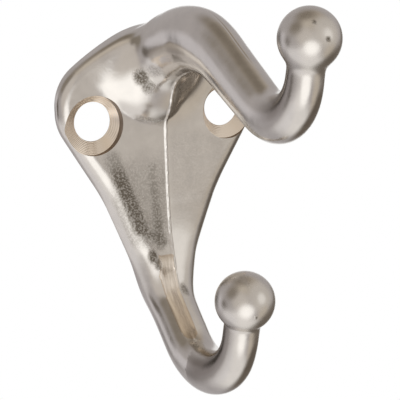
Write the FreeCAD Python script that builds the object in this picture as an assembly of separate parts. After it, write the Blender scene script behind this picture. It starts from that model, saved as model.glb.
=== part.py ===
import FreeCAD, Part
import math
import os

os.makedirs("parts", exist_ok=True)
V = FreeCAD.Vector

# Double robe hook, cast in one piece and finished in satin nickel.
# The back lies on the wall plane Y = 0, the front faces -Y and the hook is symmetric about X = 0.
# The origin is on the wall plane, midway between the two screw holes.
# All sizes are in millimetres and all angles in degrees.

# Screw holes
screw_spacing = 20.2
screw_hole = 5.4
countersink = 8.4
countersink_angle = 82.0
countersink_land = 0.4

# Back plate outline, seen from the front, as tangent arcs and straights from its top to its tail
plate_top = 12.95
top_radius = 12.0
shoulder_slope = 30.0
shoulder_length = 6.8
shoulder_radius = 7.5
hip_radius = 6.7
side_slope = 31.4
side_length = 8.2
waist_radius = 30.0
tail_slope = 23.0
foot_width = 3.47

# How far the sections and cutting bodies reach past what they shape
overlap = 1.5

# Back plate thickness at its edge and along the ridge down its middle
edge_thickness = 1.8
ridge_thickness = 2.5
rim_round = 1.3

# Swell of the front toward the root of each hook: how high, and from which height it begins
crown_swell = 1.6
crown_swell_start = -1.0
tail_swell = 2.0
tail_swell_start = -14.0
swell_power = 1.2

# Shape of the domed front: its height halfway to the rim as a share of the rise, and its slope at the rim
dome_fullness = 0.62
dome_slope = 1.6
dome_sections = 8

# Upper hook: centre line from the top of its crown, over the slope and round the bend to the ball
crown_forward = 12.5
crown_height = 11.9
crown_radius = 15.5
descent = 28.5
slope_length = 11.05
upper_bend_radius = 7.6
upper_neck_angle = 75.0
upper_neck_length = 5.55

# Upper hook: half depth and half width of its oval section
crown_depth = 4.4
crown_width = 3.6
slope_depth = 3.9
slope_width = 3.2
upper_bend_depth = 3.3
upper_bend_width = 3.0
upper_neck = 2.42
upper_taper_start = 0.35

# Upper hook: the arch under its root, the sweep of its top up from the plate, and its flanks, which
# taper forward, are slimmer at the top and run out into the plate's front in a round
arch_radius = 8.6
arch_forward = 10.6
arch_height = -1.6
root_rise = 4.0
root_rise_power = 2.4
root_taper = 2.2
root_taper_power = 1.5
root_slimming = 0.6
root_round = 3.6
root_stations = (-3.0, -1.4, 0.0, 1.2, 2.6, 5.0)

# Lower hook: centre line from the plate's tail down the slope and round the bend to the ball
tail_forward = 0.9
tail_end_rise = 6.8
tail_blend = 7.0
tail_bend_radius = 8.0
lower_descent = 46.0
lower_slope_length = 5.3
lower_bend_radius = 9.15
lower_neck_angle = 74.0
lower_neck_length = 5.5

# Lower hook: half depth and half width of its oval section
buried_depth = 0.4
buried_width = 1.6
tail_depth = 2.7
tail_width = 4.2
lower_slope_depth = 3.4
lower_slope_width = 3.2
lower_bend_depth = 3.2
lower_bend_width = 3.2
lower_neck = 2.45
lower_bend_middle = 0.45
lower_taper_end = 0.9

# Balls at the ends of the two hooks
ball = 8.1

# Spacing of the sections along a hook, and the points round each section
section_spacing = 3.0
section_points = 12

# The rim is the edge where a face this nearly upright meets one this nearly level
upright_limit = 0.02
level_limit = 0.8


def place(forward, height, side=0.0):
    """A point given by its distance from the wall, its height and its distance to the side."""
    return V(side, -forward, height)


def oval(forward, height, direction, depth, width, slimming=0.0):
    """A closed oval across a hook whose centre line runs at 'direction' above the horizontal."""
    angle = math.radians(direction)
    across = V(0, math.sin(angle), math.cos(angle))
    centre = place(forward, height)
    points = []
    for step in range(section_points):
        turn = 2 * math.pi * step / section_points
        half_width = width * (1 - slimming * (1 + math.cos(turn)) / 2)
        points.append(centre + across * (depth * math.cos(turn)) + V(half_width * math.sin(turn), 0, 0))
    curve = Part.BSplineCurve()
    curve.interpolate(Points=points, PeriodicFlag=True, Parameters=list(range(section_points + 1)))
    return Part.Wire([curve.toShape()])


def bend(radius, turn):
    """A curved run of a centre line: its length and how far it turns, upward positive."""
    return radius * math.radians(abs(turn)), turn


def straight(length):
    return length, 0.0


def walk(start, runs):
    """Stations along tangent runs: distance, forward, height and direction at each."""
    forward, height, direction = start
    distance = 0.0
    stations = [(distance, forward, height, direction)]
    for length, turn in runs:
        steps = max(1, math.ceil(length / section_spacing))
        for _ in range(steps):
            part_turn = math.radians(turn / steps)
            chord = length / steps
            if turn:
                chord = chord * math.sin(part_turn / 2) / (part_turn / 2)
            heading = math.radians(direction) + part_turn / 2
            forward = forward + chord * math.cos(heading)
            height = height + chord * math.sin(heading)
            direction = direction + turn / steps
            distance = distance + length / steps
            stations.append((distance, forward, height, direction))
    return stations


def size_at(distance, sizes):
    """Half depth and half width at a distance, drawn evenly between the given ones."""
    for (near, depth_a, width_a), (far, depth_b, width_b) in zip(sizes, sizes[1:]):
        if distance <= far + 1e-6:
            share = (distance - near) / (far - near)
            return depth_a + (depth_b - depth_a) * share, width_a + (width_b - width_a) * share
    return sizes[-1][1:]


def sections_along(stations, sizes):
    sections = []
    for distance, forward, height, direction in stations:
        depth, width = size_at(distance, sizes)
        sections.append(oval(forward, height, direction, depth, width))
    return sections


def loft(sections):
    return Part.makeLoft(sections, True, False, False, 3)


def ball_at(station):
    """A ball centred on the end of a hook's centre line and turned along it."""
    forward, height, direction = station[1:]
    angle = math.radians(direction)
    along = V(0, -math.cos(angle), math.sin(angle))
    return Part.makeSphere(ball / 2, place(forward, height), along)


def run_out(clear):
    """How far the root's flanks turn outward at a distance in front of the plate."""
    if clear <= 0:
        return root_round - clear / 2
    inside = max(root_round - clear, 0)
    return root_round - math.sqrt(root_round ** 2 - inside ** 2)


def upper_root():
    """Upright sections that flare toward the plate, over the arch under the root and up to the crown."""
    crown_top = crown_height + crown_depth
    sections = []
    for clear in root_stations:
        forward = ridge_thickness + clear
        share = 1 - forward / crown_forward
        top = crown_top - root_rise * share ** root_rise_power
        reach = min(arch_forward - forward, arch_radius)
        under = arch_height + math.sqrt(arch_radius ** 2 - reach ** 2)
        width = crown_width + root_taper * share ** root_taper_power + run_out(clear)
        sections.append(oval(forward, (top + under) / 2, 0, (top - under) / 2, width, root_slimming * share))
    return sections


def upper_hook():
    runs = [
        bend(crown_radius, -descent),
        straight(slope_length),
        bend(upper_bend_radius, descent + upper_neck_angle),
        straight(upper_neck_length),
    ]
    stations = walk((crown_forward, crown_height, 0.0), runs)
    crown_end = runs[0][0]
    slope_end = crown_end + runs[1][0]
    bend_length = runs[2][0]
    sizes = [
        (0.0, crown_depth, crown_width),
        (crown_end, slope_depth, slope_width),
        (slope_end, upper_bend_depth, upper_bend_width),
        (slope_end + bend_length * upper_taper_start, upper_bend_depth, upper_bend_width),
        (slope_end + bend_length, upper_neck, upper_neck),
    ]
    arm = loft(upper_root() + sections_along(stations, sizes))
    return arm.fuse(ball_at(stations[-1]))


def lower_hook():
    runs = [
        straight(tail_blend),
        bend(tail_bend_radius, 90.0 - lower_descent),
        straight(lower_slope_length),
        bend(lower_bend_radius, lower_descent + lower_neck_angle),
        straight(lower_neck_length),
    ]
    tail_end = tail_blend + runs[1][0]
    slope_end = tail_end + runs[2][0]
    bend_length = runs[3][0]
    sizes = [
        (0.0, buried_depth, buried_width),
        (tail_blend, tail_depth, tail_width),
        (tail_end, lower_slope_depth, lower_slope_width),
        (slope_end, lower_slope_depth, lower_slope_width),
        (slope_end + bend_length * lower_bend_middle, lower_bend_depth, lower_bend_width),
        (slope_end + bend_length * lower_taper_end, lower_neck, lower_neck),
        (slope_end + bend_length, lower_neck, lower_neck),
    ]
    start_height = plate_bottom() + tail_end_rise + tail_blend
    stations = walk((tail_forward, start_height, -90.0), runs)
    arm = loft(sections_along(stations, sizes))
    return arm.fuse(ball_at(stations[-1]))


def outline_runs():
    """Half of the plate's outline, from the middle of its top round the shoulder to the tail."""
    return [
        bend(top_radius, -shoulder_slope),
        straight(shoulder_length),
        bend(shoulder_radius, shoulder_slope - 90.0),
        bend(hip_radius, -side_slope),
        straight(side_length),
        bend(waist_radius, side_slope - tail_slope),
    ]


def plate_bottom():
    """The height at which the outline's straight tail is as narrow as the foot."""
    side, height = walk((0.0, plate_top, 0.0), outline_runs())[-1][1:3]
    return height - (side - foot_width / 2) / math.tan(math.radians(tail_slope))


def widest_height():
    """The height of the outline's widest place, below its shoulder."""
    return walk((0.0, plate_top, 0.0), outline_runs()[:3])[-1][2]


def outline_edges():
    """The half outline as lines and arcs on the wall plane, ending at the foot of the plate."""
    edges = []
    station = (0.0, plate_top, 0.0)
    for length, turn in outline_runs():
        middle = walk(station, [(length / 2, turn / 2)])[-1]
        end = walk(station, [(length, turn)])[-1]
        start_point = V(station[0], 0, station[1])
        end_point = V(end[1], 0, end[2])
        if turn:
            edges.append(Part.Arc(start_point, V(middle[1], 0, middle[2]), end_point).toShape())
        else:
            edges.append(Part.makeLine(start_point, end_point))
        station = end[1:]
    foot = V(foot_width / 2, 0, plate_bottom())
    edges.append(Part.makeLine(V(station[0], 0, station[1]), foot))
    edges.append(Part.makeLine(foot, V(0, 0, plate_bottom())))
    return edges


def outline_wire():
    """The plate's whole outline: both halves about the plane of symmetry."""
    right = outline_edges()
    left = [edge.mirror(V(0, 0, 0), V(1, 0, 0)) for edge in right]
    return Part.Wire(Part.__sortEdges__(right + left))


def half_width_at(height):
    """Half the plate's width at a height below the shoulder, measured on the outline itself."""
    beam = Part.makeLine(V(0, 0, height), V(2 * screw_spacing, 0, height))
    crossing = Part.Wire(outline_edges()).distToShape(beam)[1][0][0]
    return crossing.x


def front_swell(height):
    """How much thicker the ridge is at a height, toward the root of either hook."""
    crown_share = (height - crown_swell_start) / (plate_top - crown_swell_start)
    tail_share = (tail_swell_start - height) / (tail_swell_start - plate_bottom())
    return crown_swell * max(crown_share, 0) ** swell_power + tail_swell * max(tail_share, 0) ** swell_power


def front_section(height, half_width, ridge):
    """A level cut through the domed front, which rises from the rim to the ridge in the middle."""
    rise = ridge - edge_thickness
    low = edge_thickness - rise * dome_slope * overlap / half_width
    points = [
        place(low, height, -half_width - overlap),
        place(edge_thickness, height, -half_width),
        place(edge_thickness + rise * dome_fullness, height, -half_width / 2),
        place(ridge, height, 0),
    ]
    left = Part.BSplineCurve()
    left.interpolate(Points=points, Parameters=[0, 1, 3, 5])
    right = Part.BSplineCurve()
    right.interpolate(Points=[V(-p.x, p.y, p.z) for p in reversed(points)], Parameters=[0, 2, 4, 5])
    corner_left = V(-half_width - overlap, 1, height)
    corner_right = V(half_width + overlap, 1, height)
    return Part.Wire([
        left.toShape(),
        right.toShape(),
        Part.makeLine(place(low, height, half_width + overlap), corner_right),
        Part.makeLine(corner_right, corner_left),
        Part.makeLine(corner_left, place(low, height, -half_width - overlap)),
    ])


def outward(face, point):
    """The direction a face looks in at a point on it."""
    across, along = face.Surface.parameter(point)
    return face.normalAt(across, along)


def on_rim(shape, edge):
    """Whether an edge is on the front rim, where the plate's upright side meets its domed front."""
    middle = edge.valueAt((edge.FirstParameter + edge.LastParameter) / 2)
    shares = sorted(abs(outward(face, middle).y) for face in shape.ancestorsOfType(edge, Part.Face))
    upright_side, front = shares[0], shares[-1]
    above_foot = middle.z > plate_bottom() + rim_round / 10
    return middle.y < 0 and above_foot and upright_side < upright_limit and front > level_limit


def plate():
    """The slab inside the outline, under its domed front, which is thickest at the root of the upper hook."""
    highest = plate_top + overlap
    drop = (highest - plate_bottom() + overlap) / (dome_sections - 1)
    sections = []
    for number in range(dome_sections):
        height = highest - number * drop
        level = max(min(height, widest_height()), plate_bottom() + rim_round)
        sections.append(front_section(height, half_width_at(level), ridge_thickness + front_swell(height)))
    thickest = ridge_thickness + 2 * (crown_swell + tail_swell)
    slab = Part.Face(outline_wire()).extrude(V(0, -thickest, 0))
    domed = slab.common(loft(sections))
    return domed.makeFillet(rim_round, [edge for edge in domed.Edges if on_rim(domed, edge)])


def screw_cutter(side):
    radius = screw_hole / 2
    cone_height = (countersink - screw_hole) / 2 / math.tan(math.radians(countersink_angle / 2))
    forward = V(0, -1, 0)
    reach = ridge_thickness + crown_swell + 2 * overlap
    bore = Part.makeCylinder(radius, reach, V(side, overlap, 0), forward)
    cone = Part.makeCone(radius, countersink / 2, cone_height, place(countersink_land, 0, side), forward)
    well = Part.makeCylinder(countersink / 2, reach, place(countersink_land + cone_height, 0, side), forward)
    return bore.fuse([cone, well])


def behind_wall():
    """Everything behind the wall plane, where the plate lies flat against the wall."""
    reach = 2 * (plate_top - plate_bottom())
    return Part.makeBox(reach, reach, 2 * reach, V(-reach / 2, 0, -reach))


hook = plate().fuse(upper_hook().cut(behind_wall())).fuse(lower_hook().cut(behind_wall())).removeSplitter()
for side in (-screw_spacing / 2, screw_spacing / 2):
    hook = hook.cut(screw_cutter(side))
hook.Solids[0].exportStep("parts/robe_hook.step")
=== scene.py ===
import math
import bmesh
import bpy
import numpy as np
from mathutils import Matrix, Vector


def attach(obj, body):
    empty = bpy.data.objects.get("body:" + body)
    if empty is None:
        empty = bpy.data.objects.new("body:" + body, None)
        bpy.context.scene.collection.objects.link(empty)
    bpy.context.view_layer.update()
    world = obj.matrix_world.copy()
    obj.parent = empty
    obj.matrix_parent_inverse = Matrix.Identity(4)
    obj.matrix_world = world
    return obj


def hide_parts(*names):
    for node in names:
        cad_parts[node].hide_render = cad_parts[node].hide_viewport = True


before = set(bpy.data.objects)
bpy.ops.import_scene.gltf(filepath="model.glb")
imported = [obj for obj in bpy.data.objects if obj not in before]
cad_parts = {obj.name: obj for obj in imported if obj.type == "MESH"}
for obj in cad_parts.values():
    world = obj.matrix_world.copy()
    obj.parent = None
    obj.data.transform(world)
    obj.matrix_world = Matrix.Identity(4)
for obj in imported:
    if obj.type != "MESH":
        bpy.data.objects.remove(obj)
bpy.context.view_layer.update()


# Sizes in millimetres: those of the part's source, with the outline a little rounder at the shoulders.
# x runs to the right, f away from the wall and z up, from the point midway between the screw holes.
RIM_THICKNESS = 1.8
RIDGE_THICKNESS = 2.5
PLATE_TOP = 12.95
PLATE_FOOT = -28.6
PLATE_HALF_WIDTH = 15.64
CROWN_REACH = 12.5
CROWN_MIDDLE = 11.9
CROWN_HALF_DEPTH = 4.4
CROWN_HALF_WIDTH = 3.6
UPPER_NECK_RADIUS = 2.42
LOWER_NECK_RADIUS = 2.45
BALL_RADIUS = 4.05
ROOT_DROP = 3.9
RIM_ROUND = 1.5
TAIL_EXTRA_ROUND = 1.1
ROOT_FILLET = 4.5
SHOULDER_FILLET = 1.5
TAIL_FILLET = 2.5
UPPER_COLLAR_FILLET = 1.2
LOWER_COLLAR_FILLET = 0.5
BUTTRESS_MIDDLE = (-0.6, 0.6, 5.3)
BUTTRESS_LEFT = 8.2
BUTTRESS_RIGHT = 4.4
BUTTRESS_DEPTH = 4.5
BUTTRESS_HEIGHT = 6.5

# A line is a start (two coordinates and a heading in degrees) and its runs. A run is (0, length) for a
# straight, or (radius, turn in degrees) for an arc. The outline is in x and z, the hooks are in f and z.
OUTLINE = (
    (0.0, PLATE_TOP, 0.0),
    ((16.0, -23.5), (34.0, -13.0), (6.4, -53.5), (0, 0.88), (6.7, -31.4), (0, 8.2), (30.0, 8.4), (0, 26.0)),
)
UPPER = (
    (CROWN_REACH, CROWN_MIDDLE, 0.0),
    ((15.5, -28.5), (0, 11.05), (7.6, 103.5), (0, 5.55)),
)
LOWER = (
    (0.9, -12.8, -90.0),
    ((0, 9.0), (8.0, 44.0), (0, 5.3), (9.15, 120.0), (0, 5.5)),
)


def run_length(run):
    return run[1] if run[0] == 0 else run[0] * math.radians(abs(run[1]))


def arc_middle(u, v, heading, run):
    """The middle of an arc that starts at a point with a heading, and 1 or -1 as it turns left or right."""
    side = 1.0 if run[1] > 0 else -1.0
    return u - math.sin(heading) * run[0] * side, v + math.cos(heading) * run[0] * side, side


def stations(line):
    """The point, heading and distance along a line at the start of each of its runs, and at its end."""
    (u, v, heading), runs = line
    heading = math.radians(heading)
    distance = 0.0
    found = [(u, v, heading, distance)]
    for run in runs:
        if run[0] == 0:
            u += math.cos(heading) * run[1]
            v += math.sin(heading) * run[1]
        else:
            middle_u, middle_v, side = arc_middle(u, v, heading, run)
            heading += math.radians(run[1])
            u = middle_u + math.sin(heading) * run[0] * side
            v = middle_v - math.cos(heading) * run[0] * side
        distance += run_length(run)
        found.append((u, v, heading, distance))
    return found


def beside_straight(u, v, start, run):
    """The distance along a straight, its nearest points, and the direction to its left."""
    start_u, start_v, heading = start[:3]
    du, dv = math.cos(heading), math.sin(heading)
    s = np.clip((u - start_u) * du + (v - start_v) * dv, 0, run[1])
    return s, start_u + du * s, start_v + dv * s, -dv, du


def beside_arc(u, v, start, run):
    """The same for an arc."""
    middle_u, middle_v, side = arc_middle(*start[:3], run)
    turn = math.radians(abs(run[1]))
    base = start[2] - side * math.pi / 2
    angle = (np.arctan2(v - middle_v, u - middle_u) - base) * side
    angle = np.mod(angle + math.pi - turn / 2, 2 * math.pi) - math.pi + turn / 2
    angle = np.clip(angle, 0, turn)
    out_u, out_v = np.cos(base + side * angle), np.sin(base + side * angle)
    return angle * run[0], middle_u + run[0] * out_u, middle_v + run[0] * out_v, -side * out_u, -side * out_v


def along(line, u, v):
    """Where points of a plane lie beside a line: the distance along it, and the offset to its left."""
    best = None
    for start, run in zip(stations(line), line[1]):
        beside = beside_straight if run[0] == 0 else beside_arc
        s, near_u, near_v, left_u, left_v = beside(u, v, start, run)
        gap = np.hypot(u - near_u, v - near_v)
        side = np.where((u - near_u) * left_u + (v - near_v) * left_v < 0, -1.0, 1.0)
        here = (start[3] + s, side * gap, gap)
        if best is None:
            best = here
        else:
            nearer = gap < best[2]
            best = tuple(np.where(nearer, new, old) for new, old in zip(here, best))
    return best[:2]


def line_points(line, distances):
    """Points on a line at the given distances, and the direction to its left there."""
    out = np.zeros((4, len(distances)))
    for (u, v, heading, start), run in zip(stations(line), line[1]):
        here = (distances >= start - 1e-9) & (distances <= start + run_length(run) + 1e-9)
        s = distances[here] - start
        if run[0] == 0:
            left = np.full(len(s), -math.sin(heading)), np.full(len(s), math.cos(heading))
            out[:, here] = np.stack([u + math.cos(heading) * s, v + math.sin(heading) * s, *left])
        else:
            middle_u, middle_v, side = arc_middle(u, v, heading, run)
            turned = heading + side * s / run[0]
            left_u, left_v = -np.sin(turned), np.cos(turned)
            point_u, point_v = middle_u - left_u * run[0] * side, middle_v - left_v * run[0] * side
            out[:, here] = np.stack([point_u, point_v, left_u, left_v])
    return out


def eased(pairs, spread):
    """A table of a size against a distance, rounded off at its corners."""
    pitch = 0.1
    margin = 6
    x = np.array([pair[0] for pair in pairs], float)
    y = np.array([pair[1] for pair in pairs], float)
    grid = np.arange(x[0] - margin, x[-1] + margin, pitch)
    reach = int(3 * spread / pitch) + 1
    kernel = np.exp(-0.5 * (np.arange(-reach, reach + 1) * pitch / spread) ** 2)
    kernel /= kernel.sum()
    value = np.pad(np.interp(grid, x, y), reach, mode="edge")
    return grid, np.convolve(value, kernel, mode="valid")


def look(table, x):
    return np.interp(x, table[0], table[1])


def step(x, low, high):
    """0 below the lower limit, 1 above the upper one, and smooth between them."""
    u = np.clip((x - low) / (high - low), 0, 1)
    return u * u * (3 - 2 * u)


# Distances along the hooks. The upper one is counted from its crown, the lower one from under the ridge.
UPPER_RUNS = [run_length(run) for run in UPPER[1]]
LOWER_RUNS = [run_length(run) for run in LOWER[1]]
CREST_END, UPPER_BEND, UPPER_NECK = np.cumsum(UPPER_RUNS)[:3]
BURIED_END, TAIL_ARC_END, LOWER_BEND, LOWER_NECK = np.cumsum(LOWER_RUNS)[:4]
UPPER_WAIST = UPPER_BEND + UPPER_RUNS[2] * 0.35
LOWER_WAIST = LOWER_BEND + LOWER_RUNS[3] * 0.45
LOWER_TAPER = LOWER_BEND + LOWER_RUNS[3] * 0.9
INTO_BALL = 8

# Half sizes of the hooks' oval sections against the distance along the hook
HOOK_EASE = 1.3
UPPER_DEPTH = eased([
    (0, CROWN_HALF_DEPTH), (2.5, 4.38), (CREST_END, 3.9), (UPPER_BEND, 3.4), (UPPER_WAIST, 3.3),
    (UPPER_NECK, UPPER_NECK_RADIUS), (UPPER_NECK + INTO_BALL, UPPER_NECK_RADIUS),
], HOOK_EASE)
UPPER_WIDTH = eased([
    (0, CROWN_HALF_WIDTH), (2.5, 3.58), (CREST_END, 3.2), (UPPER_BEND, 3.0), (UPPER_WAIST, 3.0),
    (UPPER_NECK, UPPER_NECK_RADIUS), (UPPER_NECK + INTO_BALL, UPPER_NECK_RADIUS),
], HOOK_EASE)
LOWER_DEPTH = eased([
    (0, 0.3), (3, 0.9), (BURIED_END, 2.7), (TAIL_ARC_END, 3.4), (LOWER_BEND, 3.4), (LOWER_WAIST, 3.2),
    (LOWER_TAPER, LOWER_NECK_RADIUS), (LOWER_NECK, LOWER_NECK_RADIUS),
    (LOWER_NECK + INTO_BALL, LOWER_NECK_RADIUS),
], HOOK_EASE)
LOWER_WIDTH = eased([
    (0, 1.6), (3, 2.8), (BURIED_END, 4.2), (TAIL_ARC_END, 3.2), (LOWER_BEND, 3.2), (LOWER_WAIST, 3.2),
    (LOWER_TAPER, LOWER_NECK_RADIUS), (LOWER_NECK, LOWER_NECK_RADIUS),
    (LOWER_NECK + INTO_BALL, LOWER_NECK_RADIUS),
], HOOK_EASE)

# The root of the upper hook against the distance from the wall: its extra width low down, and its underside
ROOT_FLARE = eased([(-2, 2.8), (1.2, 2.6), (3.8, 1.7), (5.6, 1.1), (8.2, 0.4), (10.6, 0.0)], 0.8)
ROOT_UNDER = eased([
    (-2, -1.2), (0.8, -1.2), (1.8, 0.6), (2.4, 1.7), (3.7, 3.2), (5.6, 5.0), (7.5, 6.25), (9.3, 6.95),
    (10.9, 7.42), (11.7, 7.5),
], 0.45)

# The plate against height: how much the ridge stands out beyond its least thickness, and half its width
RIDGE_SWELL = eased([
    (-29.5, 2.0), (-21.5, 1.0), (-17.5, 0.1), (-15.5, 0.0), (-3.5, 0.0), (2.5, 0.3), (8.5, 1.0), (14.5, 1.7),
], 1.5)
HALF_WIDTH = eased([
    (-29.5, 2.3), (-28.6, 2.55), (-25, 4.1), (-20, 6.2), (-15, 8.35), (-12, 9.7), (-8, 12.0), (-5, 13.9),
    (-3, 14.9), (-1, 15.5), (1.6, PLATE_HALF_WIDTH), (16, PLATE_HALF_WIDTH),
], 0.8)


# The body of the casting. Each shape is a measure of distance: below zero inside, above zero outside.
CLEAR = 5.0


def egg(sizes, offsets):
    """About how far points at some offsets from the middle of an ellipse or ellipsoid lie outside it."""
    k0 = np.sqrt(sum((offset / size) ** 2 for offset, size in zip(offsets, sizes)))
    k1 = np.sqrt(sum((offset / size ** 2) ** 2 for offset, size in zip(offsets, sizes))) + 1e-6
    return k0 * (k0 - 1) / k1


def join(a, b, reach):
    """The two shapes as one, with the crease between them filled over a reach."""
    near = np.maximum(reach - np.abs(a - b), 0) / reach
    return np.minimum(a, b) - near ** 3 * reach / 6


def side_maps(f, z):
    """For each hook: the distance along, the offset from its line, and the half depth and width there."""
    s, n = along(UPPER, f, z)
    root = f < CROWN_REACH
    under = look(ROOT_UNDER, f)
    top = CROWN_MIDDLE + CROWN_HALF_DEPTH - ROOT_DROP * np.clip(1 - f / CROWN_REACH, 0, 2) ** 2.2
    depth = np.where(root, (top - under) / 2, look(UPPER_DEPTH, s))
    n = np.where(root, z - (top + under) / 2, n)
    low_down = 1 - 0.8 * np.clip((n / depth + 0.6) / 1.6, 0, 1)
    width = np.where(root, CROWN_HALF_WIDTH + look(ROOT_FLARE, f) * low_down, look(UPPER_WIDTH, s))
    upper = (np.where(root, f - CROWN_REACH, s), n, depth, width)
    s, n = along(LOWER, f, z)
    return upper, (s, n, look(LOWER_DEPTH, s), look(LOWER_WIDTH, s))


def front_maps(x, z):
    """How far points lie outside the plate's outline, and how far its front stands from the wall there."""
    slope_share = 0.52
    outside = along(OUTLINE, np.abs(x), z)[1]
    u = np.abs(x) / look(HALF_WIDTH, z)
    rise = RIDGE_THICKNESS - RIM_THICKNESS + look(RIDGE_SWELL, z)
    return outside, RIM_THICKNESS + rise * (1 - slope_share * u - (1 - slope_share) * u ** 2)


def plate(f, z, fronts):
    """The plate, with its rim rounded more towards the tail."""
    outside, height = fronts
    rounding = RIM_ROUND + TAIL_EXTRA_ROUND * np.clip((2 - z) / 14.0, 0, 1)
    a, b = outside + rounding, f - height + rounding
    shape = np.hypot(np.maximum(a, 0), np.maximum(b, 0)) - rounding + np.minimum(np.maximum(a, b), 0)
    return np.maximum(shape, PLATE_FOOT - z)


def ball(x, f, z, line):
    """The ball at the end of a hook."""
    ball_f, ball_z = stations(line)[-1][:2]
    return np.sqrt(x ** 2 + (f - ball_f) ** 2 + (z - ball_z) ** 2) - BALL_RADIUS


def hook(x, f, z, line, side, collar):
    """A hook with its ball, and the crease at the ball's collar filled a little."""
    n, depth, width = side[1:]
    return join(egg((depth, width), (n, x)), ball(x, f, z, line), collar)


def buttress(x, f, z):
    """The lopsided swell under the upper root, fuller on the left."""
    middle_x, middle_f, middle_z = BUTTRESS_MIDDLE
    width = np.where(x < middle_x, BUTTRESS_LEFT, BUTTRESS_RIGHT)
    return egg((width, BUTTRESS_DEPTH, BUTTRESS_HEIGHT), (x - middle_x, f - middle_f, z - middle_z))


def body(x, f, z, sides, fronts):
    """Plate, hooks and buttress as one. The upper root's fillet is small at the shoulders and large elsewhere."""
    upper_side, lower_side = sides
    upper = np.where(f < -3, CLEAR, hook(x, f, z, UPPER, upper_side, UPPER_COLLAR_FILLET))
    lower = hook(x, f, z, LOWER, lower_side, LOWER_COLLAR_FILLET)
    at_shoulder = np.clip((z - 7.5) / 3.0, 0, 1) * np.clip((4.0 - f) / 2.5, 0, 1)
    root_fillet = ROOT_FILLET - (ROOT_FILLET - SHOULDER_FILLET) * at_shoulder
    buttress_fillet = 0.5 + 2.6 * np.clip((z - 1.5) / 4.0, 0, 1)
    shape = join(plate(f, z, fronts), upper, root_fillet)
    shape = join(shape, lower, TAIL_FILLET)
    return join(shape, buttress(x, f, z), buttress_fillet)


def inner_height(distances, x):
    """How far the surface is from the lower hook's middle line on its inner side."""
    n = np.linspace(0.2, 7.0, 341)
    line_f, line_z, left_f, left_z = line_points(LOWER, distances)
    f = line_f[:, None] + left_f[:, None] * n
    z = line_z[:, None] + left_z[:, None] * n
    value = body(x, f, z, side_maps(f, z), front_maps(x, z))
    return n[np.argmax(value > 0, axis=1)]


# The strip ground flat on the left of the lower hook's inner side, and the parting line with its groove on top
STRIP_START = 6.0
STRIP_END = LOWER_BEND + 10.0
STRIP_EDGE = 1.7
PARTING_HEIGHT = 0.19
PARTING_WIDTH = 0.2
GROOVE_DEPTH = 0.05
GROOVE_WIDTH = 0.1
STRIP_DISTANCES = np.arange(3.0, LOWER_NECK, 0.5)
STRIP_MIDDLE = eased(list(zip(STRIP_DISTANCES, inner_height(STRIP_DISTANCES, 0.0))), 0.8)
STRIP_SIDE = eased(list(zip(STRIP_DISTANCES, inner_height(STRIP_DISTANCES, -STRIP_EDGE))), 0.8)


def strip_plane(x, s, n):
    """How far points beside the lower hook are above the ground strip, which fades out at both ends."""
    high, low = look(STRIP_MIDDLE, s), look(STRIP_SIDE, s)
    drop = np.maximum(high - low, 0.05)
    flat = ((n - high) * STRIP_EDGE - x * drop) / np.hypot(STRIP_EDGE, drop)
    start = step(s, STRIP_START - 0.3, STRIP_START + 0.8)
    end = 1 - step(s, STRIP_END - 11, STRIP_END)
    near = (x > -STRIP_EDGE - 0.5) & (x < 0.5) & (start * end > 0) & (n > 0) & (n < high + 2)
    return np.where(near, flat - 2.0 * (1 - start) - 0.9 * (1 - end), -CLEAR)


def parting_line(x, f, z, sides):
    """How far the parting line stands out down the plate, round the arch and on the lower hook."""
    (_, upper_n), (lower_s, lower_n) = sides[0][:2], sides[1][:2]
    on_plate = (f < 4.5) * step(z, -22.5, -21.0) * (1 - step(z, 0.5, 3.0))
    on_arch = (upper_n < 0) * (f > 1.0) * (1 - step(f, 11.0, 19.0)) * (z > -2)
    on_hook = (lower_n > 0) * (z < -17.5) * step(lower_s, STRIP_START - 1, STRIP_START)
    on_hook = on_hook * (1 - step(lower_s, STRIP_END - 12, STRIP_END - 8))
    wave = 0.75 + 0.25 * np.sin(z * 5.1 + f * 3.7) * np.sin(z * 1.9 + 1.3 + f)
    strength = np.maximum(np.maximum(on_plate, on_arch), on_hook * 0.6)
    return PARTING_HEIGHT * wave * strength * np.exp(-(x / PARTING_WIDTH) ** 2)


def crest_groove(x, f, z, sides):
    """The faint groove that the parting line left along the top of the upper hook."""
    on_top = (sides[0][1] > 0) * step(f, 15, 18) * (1 - step(f, 25, 28)) * (z > 6)
    return GROOVE_DEPTH * on_top * np.exp(-((x - 0.1) / GROOVE_WIDTH) ** 2)


def cast(x, f, z, sides=None, fronts=None):
    """The whole casting: its body with the strip ground off it and the parting line raised on it."""
    sides = sides or side_maps(f, z)
    fronts = fronts or front_maps(x, z)
    flat = strip_plane(x, *sides[1][:2])
    shape = -join(-body(x, f, z, sides, fronts), -flat, 0.12)
    return shape - parting_line(x, f, z, sides) + crest_groove(x, f, z, sides)


# The casting's mesh
def net_points(axes, value, cells):
    """For each cell that the zero level passes through, the mean of where it crosses the cell's edges."""
    total = np.zeros((len(cells[0]), 3))
    hits = np.zeros(len(cells[0]))
    for axis in range(3):
        rest = [a for a in range(3) if a != axis]
        for other in ((0, 0), (0, 1), (1, 0), (1, 1)):
            low = [0, 0, 0]
            low[rest[0]], low[rest[1]] = other
            high = list(low)
            high[axis] = 1
            value_low = value[tuple(cells[a] + low[a] for a in range(3))]
            value_high = value[tuple(cells[a] + high[a] for a in range(3))]
            cross = (value_low < 0) != (value_high < 0)
            share = np.where(cross, value_low / np.where(cross, value_low - value_high, 1), 0)
            at = [axes[a][cells[a] + low[a]] for a in range(3)]
            at[axis] = at[axis] + share * (axes[axis][cells[axis] + 1] - axes[axis][cells[axis]])
            total += np.stack(at, 1) * cross[:, None]
            hits += cross
    return total / hits[:, None]


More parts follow.
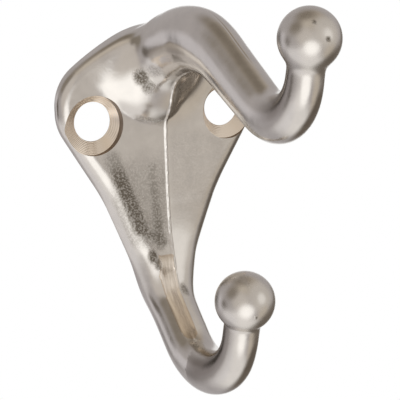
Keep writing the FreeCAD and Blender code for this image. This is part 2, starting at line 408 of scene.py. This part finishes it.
def net_faces(inside, cell):
    """A quad round each edge of the grid that leads from inside to outside."""
    faces = []
    for axis in range(3):
        a, b = [q for q in range(3) if q != axis]
        near = [slice(1, -1)] * 3
        near[axis] = slice(0, -1)
        far = list(near)
        far[axis] = slice(1, None)
        here, there = inside[tuple(near)], inside[tuple(far)]
        edge = np.nonzero(here != there)
        base = [edge[q] + (axis != q) for q in range(3)]
        ring = []
        for step_a, step_b in ((-1, -1), (0, -1), (0, 0), (-1, 0)):
            at = [q.copy() for q in base]
            at[a] += step_a
            at[b] += step_b
            ring.append(cell[tuple(at)])
        quad = np.stack(ring, 1)
        flip = here[edge] if axis == 1 else ~here[edge]
        quad[flip] = quad[flip][:, ::-1]
        faces.append(quad)
    return np.concatenate(faces)


def net(axes, value):
    """A closed skin of quads round the cells that the zero level passes through."""
    inside = value < 0
    nx, nf, nz = [n - 1 for n in value.shape]
    corners = [(i, j, k) for i in (0, 1) for j in (0, 1) for k in (0, 1)]
    count = sum(inside[i:nx + i, j:nf + j, k:nz + k].astype(np.int8) for i, j, k in corners)
    cells = np.nonzero((count > 0) & (count < 8))
    cell = np.full(count.shape, -1)
    cell[cells] = np.arange(len(cells[0]))
    return net_points(axes, value, cells), net_faces(inside, cell)


def slope(points):
    """The direction in which the casting's measure grows, and how fast."""
    reach = 0.01
    parts = []
    for axis in range(3):
        ahead, behind = points.copy(), points.copy()
        ahead[:, axis] += reach
        behind[:, axis] -= reach
        parts.append((cast(*ahead.T) - cast(*behind.T)) / (2 * reach))
    return np.stack(parts, 1)


def settle(points, faces, rounds):
    """Evens out the net, and puts each of its points exactly on the surface."""
    edges = np.concatenate([faces[:, [0, 1]], faces[:, [1, 2]], faces[:, [2, 3]], faces[:, [3, 0]]])
    a, b = np.unique(np.sort(edges, 1), axis=0).T
    size = len(points)
    degree = np.bincount(a, minlength=size) + np.bincount(b, minlength=size)
    longest_move = 0.15
    for turn in range(rounds):
        if turn < rounds - 2:
            sums = [np.bincount(a, points[b, c], size) + np.bincount(b, points[a, c], size) for c in range(3)]
            points = points + 0.5 * (np.stack(sums, 1) / degree[:, None] - points)
        g = slope(points)
        move = -cast(*points.T)[:, None] * g / np.maximum((g ** 2).sum(1), 0.05)[:, None]
        length = np.linalg.norm(move, axis=1, keepdims=True)
        points = points + move * np.minimum(1, longest_move / np.maximum(length, 1e-9))
    return points


# Rough spots left in the skin, pits, and spots of painted shade in the upper root's creases and under its arch:
# the middle, the half size across and in height, and the strength
ROUGH_SPOTS_AND_PAINTED_SHADE = (
    # Painted shade in the concave blend at the upper root's left
    (-4.7, 5.1, 6.3, 1.5, 1.6, 1.0),
    # Painted shade in the same blend
    (-3.9, 5.2, 5.0, 1.2, 1.6, 0.8),
    (-2.9, 2.9, -19.4, 0.9, 1.6, 1.0),
    (-2.3, 3.2, -20.6, 0.7, 1.3, 0.8),
    (0.9, 4.9, -24.3, 0.9, 1.8, 0.7),
    (-1.1, 45.1, 17.2, 0.35, 0.35, 0.9),
    # Painted shade under the right of the upper root's arch
    (2.6, 5.0, 4.6, 2.6, 3.0, 0.45),
    # Painted shade in the crease on the left of the upper root
    (-3.4, 6.4, 7.2, 1.6, 1.4, 0.4),
    (0.2, 46.0, 15.1, 0.5, 0.4, 0.9),
    (-0.5, 27.5, -23.4, 0.3, 0.3, 0.9),
    (-2.8, 23.5, -25.0, 0.8, 0.35, 0.8),
)


def band(x, z, start, end, full, gone):
    """A band of the plate along a straight line, from 1 near it to 0, and the share of the way along it."""
    run = np.subtract(end, start)
    share = np.clip(((x - start[0]) * run[0] + (z - start[1]) * run[1]) / (run @ run), 0, 1)
    gap = np.hypot(x - start[0] - share * run[0], z - start[1] - share * run[1])
    return 1 - step(gap, full, gone), share


def plate_grain_and_crease_shade(x, z):
    """How rough the skin of the plate's front is: mostly on the left half, in bands beside the ridge, with a line
    of painted shade along the crease under the upper root's bulge.
    """
    left_band, share = band(x, z, (-8.2, -5.2), (-4.3, -15.3), 0.5, 1.9)
    left_band = left_band * (0.55 + 0.45 * step(share, 0.0, 0.3))
    ridge_band, share = band(x, z, (-2.3, -7.0), (-1.6, -17.4), 0.2, 1.7)
    ridge_band = ridge_band * (0.5 + 0.35 * share)
    tail_band = 0.8 * band(x, z, (-4.0, -15.8), (-1.3, -17.4), 0.3, 1.3)[0]
    between = 0.38 * step(x, -9, -7.5) * (1 - step(x, -0.6, -0.1)) * step(-z, 3, 9) * (1 - step(-z, 17, 19))
    # Painted shade along the crease at the lower edge of the upper root's bulge
    from_crease = np.abs(z + 0.6 + 0.33 * (x + 1))
    crease = 0.4 * (1 - step(from_crease, 0.1, 0.6)) * step(x, -5.5, -4) * (1 - step(x, -0.6, 0))
    left = np.max([left_band, ridge_band, tail_band, between, crease], axis=0) * (x < 0.3)
    return np.maximum(left, 0.11 * step(x, 0.4, 1.2) * step(-z, 1, 4) * (1 - step(-z, 12, 18)))


def grain_and_shade_mask(x, f, z):
    """Where the skin was left as it was cast, with painted shade spots in the upper root's creases and under its
    arch.
    """
    grain_and_shade = plate_grain_and_crease_shade(x, z) * step(f, 1.0, 1.6) * (f < 5)
    for spot_x, spot_f, spot_z, across, tall, strength in ROUGH_SPOTS_AND_PAINTED_SHADE:
        gap = np.hypot(np.hypot((x - spot_x) / across, (f - spot_f) / across), (z - spot_z) / tall)
        grain_and_shade = np.maximum(grain_and_shade, strength * (1 - step(gap, 0.35, 1.0)))
    return grain_and_shade


def ground_mask(x, f, z):
    """Where the strip was ground, fading towards its ends."""
    s, n = along(LOWER, f, z)
    on_strip = (np.abs(strip_plane(x, s, n)) < 0.1) * (x < 0.02)
    fading = 1 - 0.5 * step(s, STRIP_START + 1, STRIP_END - 6)
    return on_strip * fading * step(s, STRIP_START - 1.5, STRIP_START + 2.5)


def satin_mask(x, f, z):
    """The balls, which are a little duller than the rest."""
    return np.maximum(1 - step(ball(x, f, z, UPPER), 0.25, 3.95), 1 - step(ball(x, f, z, LOWER), 0.25, 3.95))


def painted_reflection_mask(x, f, z):
    """Painted dark brown reflection on the inner left faces of both bends."""
    painted_reflection = np.zeros(len(x))
    upper = (UPPER, UPPER_BEND, UPPER_NECK, UPPER_WIDTH)
    lower = (LOWER, LOWER_BEND, LOWER_NECK, LOWER_WIDTH)
    for line, bend, neck, width in (upper, lower):
        s, n = along(line, f, z)
        here = step(s, bend + 1.0, bend + 9.0) * (1 - step(s, neck + 3.5, neck + 5.0)) * (f > 12)
        painted_reflection = np.maximum(painted_reflection, here * step(-x / look(width, s), 0.5, 0.85) * step(n, -1.8, 0.2))
    return painted_reflection


# The mask attributes that the finish reads, as values from 0 to 1. The grain mask also holds painted shade, and
# the bends' mask a painted dark reflection.
MASKS = {"grain_and_shade": grain_and_shade_mask, "ground": ground_mask, "satin": satin_mask, "painted_reflection": painted_reflection_mask}


def casting_mesh():
    pitch = 0.3
    fine = np.arange(0.035, 0.4, 0.07)
    middling = np.arange(0.47, 1.0, 0.12)
    coarse = np.arange(1.15, 16.8, pitch)
    side = np.concatenate([fine, middling, coarse])
    xs = np.concatenate([-side[::-1], side])
    fs = np.arange(-1.05, 47.2, pitch)
    zs = np.arange(-38.3, 19.9, pitch)
    x, f, z = xs[:, None, None], fs[None, :, None], zs[None, None, :]
    value = cast(x, f, z, side_maps(f, z), front_maps(x, z))
    behind_wall = 0.9
    value = np.maximum(value, -behind_wall - f)
    points, faces = net((xs, fs, zs), value)
    on_skin = points[:, 1] > -0.6
    points = np.where(on_skin[:, None], settle(points, faces, 6), points)
    mesh = bpy.data.meshes.new("robe_hook_casting")
    mesh.from_pydata((points * (1, -1, 1)).tolist(), [], faces.tolist())
    for name, mask in MASKS.items():
        attribute = mesh.attributes.new(name, "FLOAT", "POINT")
        attribute.data.foreach_set("value", mask(*points.T).astype(np.float32))
    return mesh


# Short forms for shader nodes
def node(tree, kind, **values):
    new = tree.nodes.new(kind)
    for key, value in values.items():
        setattr(new, key, value)
    return new


def mask_value(tree, name):
    return node(tree, "ShaderNodeAttribute", attribute_name=name).outputs["Fac"]


def noise(tree, source, scale, detail, rough):
    new = node(tree, "ShaderNodeTexNoise")
    new.inputs["Scale"].default_value = scale
    new.inputs["Detail"].default_value = detail
    new.inputs["Roughness"].default_value = rough
    tree.links.new(source, new.inputs["Vector"])
    return new.outputs["Fac"]


def spread(tree, source, low, high, out_low=0.0, out_high=1.0):
    new = node(tree, "ShaderNodeMapRange", interpolation_type="SMOOTHSTEP")
    tree.links.new(source, new.inputs["Value"])
    for name, value in (("From Min", low), ("From Max", high), ("To Min", out_low), ("To Max", out_high)):
        new.inputs[name].default_value = value
    return new.outputs["Result"]


def arithmetic(tree, operation, a, b=0.0):
    new = node(tree, "ShaderNodeMath", operation=operation)
    for socket, value in zip(new.inputs, (a, b)):
        if isinstance(value, (int, float)):
            socket.default_value = value
        else:
            tree.links.new(value, socket)
    return new.outputs["Value"]


def vector(tree, operation, a, b=None):
    new = node(tree, "ShaderNodeVectorMath", operation=operation)
    tree.links.new(a, new.inputs[0])
    if b is not None:
        new.inputs[1].default_value = b
    result = "Value" if operation in ("LENGTH", "DOT_PRODUCT") else "Vector"
    return new.outputs[result]


def blend_colour(tree, factor, a, b):
    new = node(tree, "ShaderNodeMix", data_type="RGBA")
    tree.links.new(factor, new.inputs["Factor"])
    for name, value in (("A", a), ("B", b)):
        if isinstance(value, tuple):
            new.inputs[name].default_value = (*value, 1)
        else:
            tree.links.new(value, new.inputs[name])
    return new.outputs["Result"]


def bump(tree, height, strength, distance, under=None):
    new = node(tree, "ShaderNodeBump")
    new.inputs["Strength"].default_value = strength
    new.inputs["Distance"].default_value = distance
    tree.links.new(height, new.inputs["Height"])
    if under is not None:
        tree.links.new(under, new.inputs["Normal"])
    return new.outputs["Normal"]


def metal(name):
    """A new metal material, its node tree and its shader."""
    mat = bpy.data.materials.new(name)
    mat.use_nodes = True
    shader = mat.node_tree.nodes["Principled BSDF"]
    shader.inputs["Metallic"].default_value = 1.0
    return mat, mat.node_tree, shader


# Colours and roughness of the finish
NICKEL_DEEP = (0.6365, 0.60325, 0.56525)
NICKEL_PALE = (0.6901, 0.65405, 0.61285)
STRIP_DEEP = (0.62, 0.53, 0.43)
STRIP_PALE = (1.0, 0.93, 0.84)
STRIP_STREAK = (0.46, 0.38, 0.30)
# Painted dark brown reflection on the inner left faces of both bends
PAINTED_DARK_REFLECTION = (0.27, 0.238, 0.212)
# Dark speckled cast skin, also used as painted shade at the upper root and along its crease
SPECKLE_AND_PAINTED_SHADE = (0.15, 0.13, 0.105)
TURNED_NICKEL = (0.86, 0.765, 0.66)
# Painted dark brown reflection on the countersinks' walls
WALL_PAINTED_REFLECTION = (0.30, 0.235, 0.175)
SATIN_ROUGHNESS = (0.15, 0.21)
CAST_EXTRA_ROUGHNESS = 0.25
BALL_EXTRA_ROUGHNESS = 0.09
TURNED_ROUGHNESS = 0.2
WALL_ROUGHNESS = 0.4


def strip_colour(tree, place, ground):
    """The ground strip's tan, with streaks along it."""
    along_strip = node(tree, "ShaderNodeMapping")
    along_strip.inputs["Scale"].default_value = (9, 1, 1)
    tree.links.new(place, along_strip.inputs["Vector"])
    streaks = spread(tree, noise(tree, along_strip.outputs["Vector"], 520, 3, 0.6), 0.3, 0.7)
    tan = blend_colour(tree, spread(tree, ground, 0.5, 1.0), STRIP_DEEP, STRIP_PALE)
    return blend_colour(tree, arithmetic(tree, "MULTIPLY", streaks, 0.35), tan, STRIP_STREAK)


def satin_nickel():
    """The finish of the casting: satin nickel, with rough cast skin and painted shade spots, the ground strip and
    a painted dark reflection by mask.
    """
    mat, tree, shader = metal("satin_nickel_cast")
    place = node(tree, "ShaderNodeTexCoord").outputs["Object"]
    grain_and_shade = mask_value(tree, "grain_and_shade")
    ground = mask_value(tree, "ground")
    pits = noise(tree, place, 3600, 3, 0.6)
    cloud = spread(tree, noise(tree, place, 420, 4, 0.55), 0.3, 0.7)
    colour = blend_colour(tree, cloud, NICKEL_DEEP, NICKEL_PALE)
    colour = blend_colour(tree, spread(tree, ground, 0.0, 0.4), colour, strip_colour(tree, place, ground))
    # Paints the dark reflection on the bends' inner left faces
    colour = blend_colour(tree, mask_value(tree, "painted_reflection"), colour, PAINTED_DARK_REFLECTION)
    # Darkens the cast skin, and paints shade at the upper root and along its crease
    speckle_and_shade = arithmetic(tree, "MULTIPLY", grain_and_shade, spread(tree, pits, 0.38, 0.58, 0.55, 1.1))
    colour = blend_colour(tree, speckle_and_shade, colour, SPECKLE_AND_PAINTED_SHADE)
    tree.links.new(colour, shader.inputs["Base Color"])
    from_grain = arithmetic(tree, "MULTIPLY", grain_and_shade, CAST_EXTRA_ROUGHNESS)
    from_satin = arithmetic(tree, "MULTIPLY", mask_value(tree, "satin"), BALL_EXTRA_ROUGHNESS)
    dull = arithmetic(tree, "ADD", from_grain, spread(tree, cloud, 0, 1, *SATIN_ROUGHNESS))
    dull = arithmetic(tree, "ADD", dull, from_satin)
    tree.links.new(dull, shader.inputs["Roughness"])
    waves = bump(tree, noise(tree, place, 230, 2, 0.5), 0.2, 0.0003)
    fine = bump(tree, noise(tree, place, 2600, 2, 0.6), 0.14, 0.00004, waves)
    pitted = arithmetic(tree, "MULTIPLY", pits, arithmetic(tree, "ADD", grain_and_shade, 0.04))
    tree.links.new(bump(tree, pitted, 0.5, 0.0002, fine), shader.inputs["Normal"])
    return mat


# Screw holes, for each side: the bore's middle and radius, and how far off it its countersink was cut
HOLES = ((-10.1, 0.15, 2.75, -0.55, -0.3), (10.15, 0.08, 2.64, 0.1, -0.1))
SINK_RADIUS = 4.2
SINK_FLOOR = 0.1
SINK_TOP = 1.2
GROOVE_MIDDLE = 0.0101
GROOVE_PITCH = 0.00022


def machined_nickel():
    """The turned cone of a countersink, with fine rings round its middle."""
    mat, tree, shader = metal("satin_nickel_machined")
    shader.inputs["Base Color"].default_value = (*TURNED_NICKEL, 1)
    shader.inputs["Roughness"].default_value = TURNED_ROUGHNESS
    place = node(tree, "ShaderNodeTexCoord").outputs["Object"]
    from_middle = vector(tree, "SUBTRACT", vector(tree, "ABSOLUTE", place), (GROOVE_MIDDLE, 0, 0))
    radius = vector(tree, "LENGTH", vector(tree, "MULTIPLY", from_middle, (1, 0, 1)))
    grooves = arithmetic(tree, "SINE", arithmetic(tree, "MULTIPLY", radius, 2 * math.pi / GROOVE_PITCH))
    tree.links.new(bump(tree, grooves, 0.35, 0.000015), shader.inputs["Normal"])
    return mat


def dark_wall():
    """The short straight wall round a countersink, dull, its colour a painted dark brown reflection."""
    mat, tree, shader = metal("satin_nickel_wall")
    # The wall's colour is a painted dark brown reflection
    shader.inputs["Base Color"].default_value = (*WALL_PAINTED_REFLECTION, 1)
    shader.inputs["Roughness"].default_value = WALL_ROUGHNESS
    return mat


def cutter(x, z, bore, off_x, off_z):
    """A turned tool for one screw hole: a through bore, the cone, and a straight wall out of the front."""
    profile = ((bore, -2.0, 0), (bore, SINK_FLOOR, 0), (SINK_RADIUS, SINK_TOP, 1), (SINK_RADIUS, 8.0, 1))
    wall = 2
    steps = 96
    bm = bmesh.new()
    rings = []
    for radius, forward, off in profile:
        ring = []
        for i in range(steps):
            turn = 2 * math.pi * i / steps
            ring_x = x + off * off_x + radius * math.cos(turn)
            ring_z = z + off * off_z + radius * math.sin(turn)
            ring.append(bm.verts.new((ring_x, -forward, ring_z)))
        rings.append(ring)
    for part, (low, high) in enumerate(zip(rings, rings[1:])):
        for i in range(steps):
            j = (i + 1) % steps
            bm.faces.new((low[i], low[j], high[j], high[i])).material_index = int(part == wall)
    bm.faces.new(list(reversed(rings[0])))
    bm.faces.new(rings[-1])
    bmesh.ops.recalc_face_normals(bm, faces=bm.faces)
    mesh = bpy.data.meshes.new("cutter")
    bm.to_mesh(mesh)
    bm.free()
    mesh.materials.append(machined_nickel())
    mesh.materials.append(dark_wall())
    return bpy.data.objects.new("cutter", mesh)


def flatten_back(mesh):
    """Cuts the mesh off at the wall and closes it there with one flat face."""
    bm = bmesh.new()
    bm.from_mesh(mesh)
    bmesh.ops.recalc_face_normals(bm, faces=bm.faces)
    cut = bmesh.ops.bisect_plane(bm, geom=bm.verts[:] + bm.edges[:] + bm.faces[:], plane_co=(0, 0, 0),
                                 plane_no=(0, 1, 0), clear_outer=True)
    rim = [g for g in cut["geom_cut"] if isinstance(g, bmesh.types.BMEdge)]
    bmesh.ops.contextual_create(bm, geom=rim)
    bmesh.ops.recalc_face_normals(bm, faces=bm.faces)
    bm.to_mesh(mesh)
    bm.free()


def cut_hole(piece, hole):
    tool = cutter(*hole)
    bpy.context.scene.collection.objects.link(tool)
    cut = piece.modifiers.new("hole", "BOOLEAN")
    cut.operation = "DIFFERENCE"
    cut.solver = "EXACT"
    cut.material_mode = "TRANSFER"
    cut.object = tool
    depsgraph = bpy.context.evaluated_depsgraph_get()
    mesh = bpy.data.meshes.new_from_object(piece.evaluated_get(depsgraph))
    piece.modifiers.clear()
    piece.data = mesh
    bpy.data.objects.remove(tool)


def casting_piece():
    mesh = casting_mesh()
    flatten_back(mesh)
    piece = bpy.data.objects.new("robe_hook_casting", mesh)
    bpy.context.scene.collection.objects.link(piece)
    mesh.materials.append(satin_nickel())
    for hole in HOLES:
        cut_hole(piece, hole)
    millimetre = 0.001
    mesh = piece.data
    mesh.name = "robe_hook_casting"
    mesh.transform(Matrix.Scale(millimetre, 4))
    mesh.polygons.foreach_set("use_smooth", [True] * len(mesh.polygons))
    mesh.set_sharp_from_angle(angle=math.radians(32))
    return piece


piece = casting_piece()
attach(piece, "root")
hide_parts("robe_hook")


# The surroundings that the metal mirrors. Each area has its azimuth and elevation, the half angle of its even
# part, the half angle where it has faded out, and its colour; a later one lies over the ones before it.
SURROUND = (0.50, 0.475, 0.475)
AREAS = (
    (20, 74, 30, 56, (0.50, 0.44, 0.37)),
    (-50, 62, 8, 30, (0.68, 0.62, 0.54)),
    (0, -88, 15, 45, (0.98, 0.97, 0.95)),
    (40, 18, 34, 66, (0.68, 0.645, 0.605)),
    (-48, 14, 20, 44, (0.70, 0.66, 0.62)),
    (-62, -60, 24, 50, (0.98, 0.96, 0.95)),
    (-112, -44, 12, 34, (0.88, 0.865, 0.88)),
    (-24, -27, 17, 35, (1.50, 1.50, 1.49)),
    (40, 12, 11, 25, (1.06, 1.04, 1.01)),
    (-138, -6, 12, 24, (0.74, 0.72, 0.75)),
    (-95, 38, 12, 34, (0.29, 0.255, 0.215)),
    (180, -35, 20, 46, (0.50, 0.48, 0.49)),
    (52, -34, 10, 30, (0.66, 0.60, 0.52)),
    (104, -42, 18, 42, (0.16, 0.135, 0.11)),
    (-117, -5, 4, 20, (0.17, 0.15, 0.13)),
    (-164, -6, 6, 18, (0.12, 0.11, 0.10)),
    (-168, 76, 6, 38, (0.25, 0.215, 0.175)),
    (124, -14, 12, 26, (0.18, 0.155, 0.13)),
)
# The white backdrop, in the same form: it stands behind the casting, the way the camera looks
BACKDROP = (152, -11.5, 16, 26)


def toward(azimuth, elevation):
    """A direction, from its angle round from the front, positive to the right, and its angle above level."""
    a, e = math.radians(azimuth), math.radians(elevation)
    return math.sin(a) * math.cos(e), -math.cos(a) * math.cos(e), math.sin(e)


def area(tree, where, azimuth, elevation, even, faded):
    """A round area of the surroundings, even out to one angle from its middle and faded out at another."""
    angle = arithmetic(tree, "ARCCOSINE", vector(tree, "DOT_PRODUCT", where, toward(azimuth, elevation)))
    return spread(tree, angle, math.radians(faded), math.radians(even))


def background(tree, colour):
    new = node(tree, "ShaderNodeBackground")
    if isinstance(colour, tuple):
        new.inputs["Color"].default_value = (*colour, 1)
    else:
        tree.links.new(colour, new.inputs["Color"])
    return new.outputs["Background"]


def surroundings():
    """A plain studio: the metal mirrors soft pale and dark areas round it, before a plain white backdrop."""
    world = bpy.data.worlds.new("studio")
    bpy.context.scene.world = world
    world.use_nodes = True
    tree = world.node_tree
    tree.nodes.clear()
    where = node(tree, "ShaderNodeTexCoord").outputs["Generated"]
    base = node(tree, "ShaderNodeRGB")
    base.outputs[0].default_value = (*SURROUND, 1)
    colour = base.outputs[0]
    for *place, tint in AREAS:
        colour = blend_colour(tree, area(tree, where, *place), colour, tint)
    seen = node(tree, "ShaderNodeLightPath")
    mirrored = arithmetic(tree, "MAXIMUM", seen.outputs["Is Glossy Ray"], seen.outputs["Is Transmission Ray"])
    mirrored = arithmetic(tree, "MULTIPLY", mirrored, area(tree, where, *BACKDROP))
    pick = node(tree, "ShaderNodeMixShader")
    tree.links.new(arithmetic(tree, "MAXIMUM", seen.outputs["Is Camera Ray"], mirrored), pick.inputs["Fac"])
    tree.links.new(background(tree, colour), pick.inputs[1])
    tree.links.new(background(tree, (1, 1, 1)), pick.inputs[2])
    out = node(tree, "ShaderNodeOutputWorld")
    tree.links.new(pick.outputs["Shader"], out.inputs["Surface"])


# The camera, fitted to the holes, the plate's outline and both hooks: its axes, place and focal length
CAMERA_RIGHT = Vector((0.87915, -0.47533, -0.03420))
CAMERA_UP = Vector((0.12436, 0.15954, 0.97932))
CAMERA_PLACE = (-0.13878, -0.27300, 0.04991)
FOCAL_PIXELS = 2213.4
PICTURE_PIXELS = 400
SENSOR_WIDTH = 36.0


def camera():
    data = bpy.data.cameras.new("camera")
    data.sensor_width = SENSOR_WIDTH
    data.lens = SENSOR_WIDTH * FOCAL_PIXELS / PICTURE_PIXELS
    data.clip_end = 100
    cam = bpy.data.objects.new("camera", data)
    bpy.context.scene.collection.objects.link(cam)
    back = CAMERA_RIGHT.cross(CAMERA_UP)
    rows = zip(CAMERA_RIGHT, CAMERA_UP, back, CAMERA_PLACE)
    cam.matrix_world = Matrix((*rows, (0, 0, 0, 1)))
    bpy.context.scene.camera = cam


surroundings()
camera()
bpy.context.scene.view_settings.view_transform = "Standard"
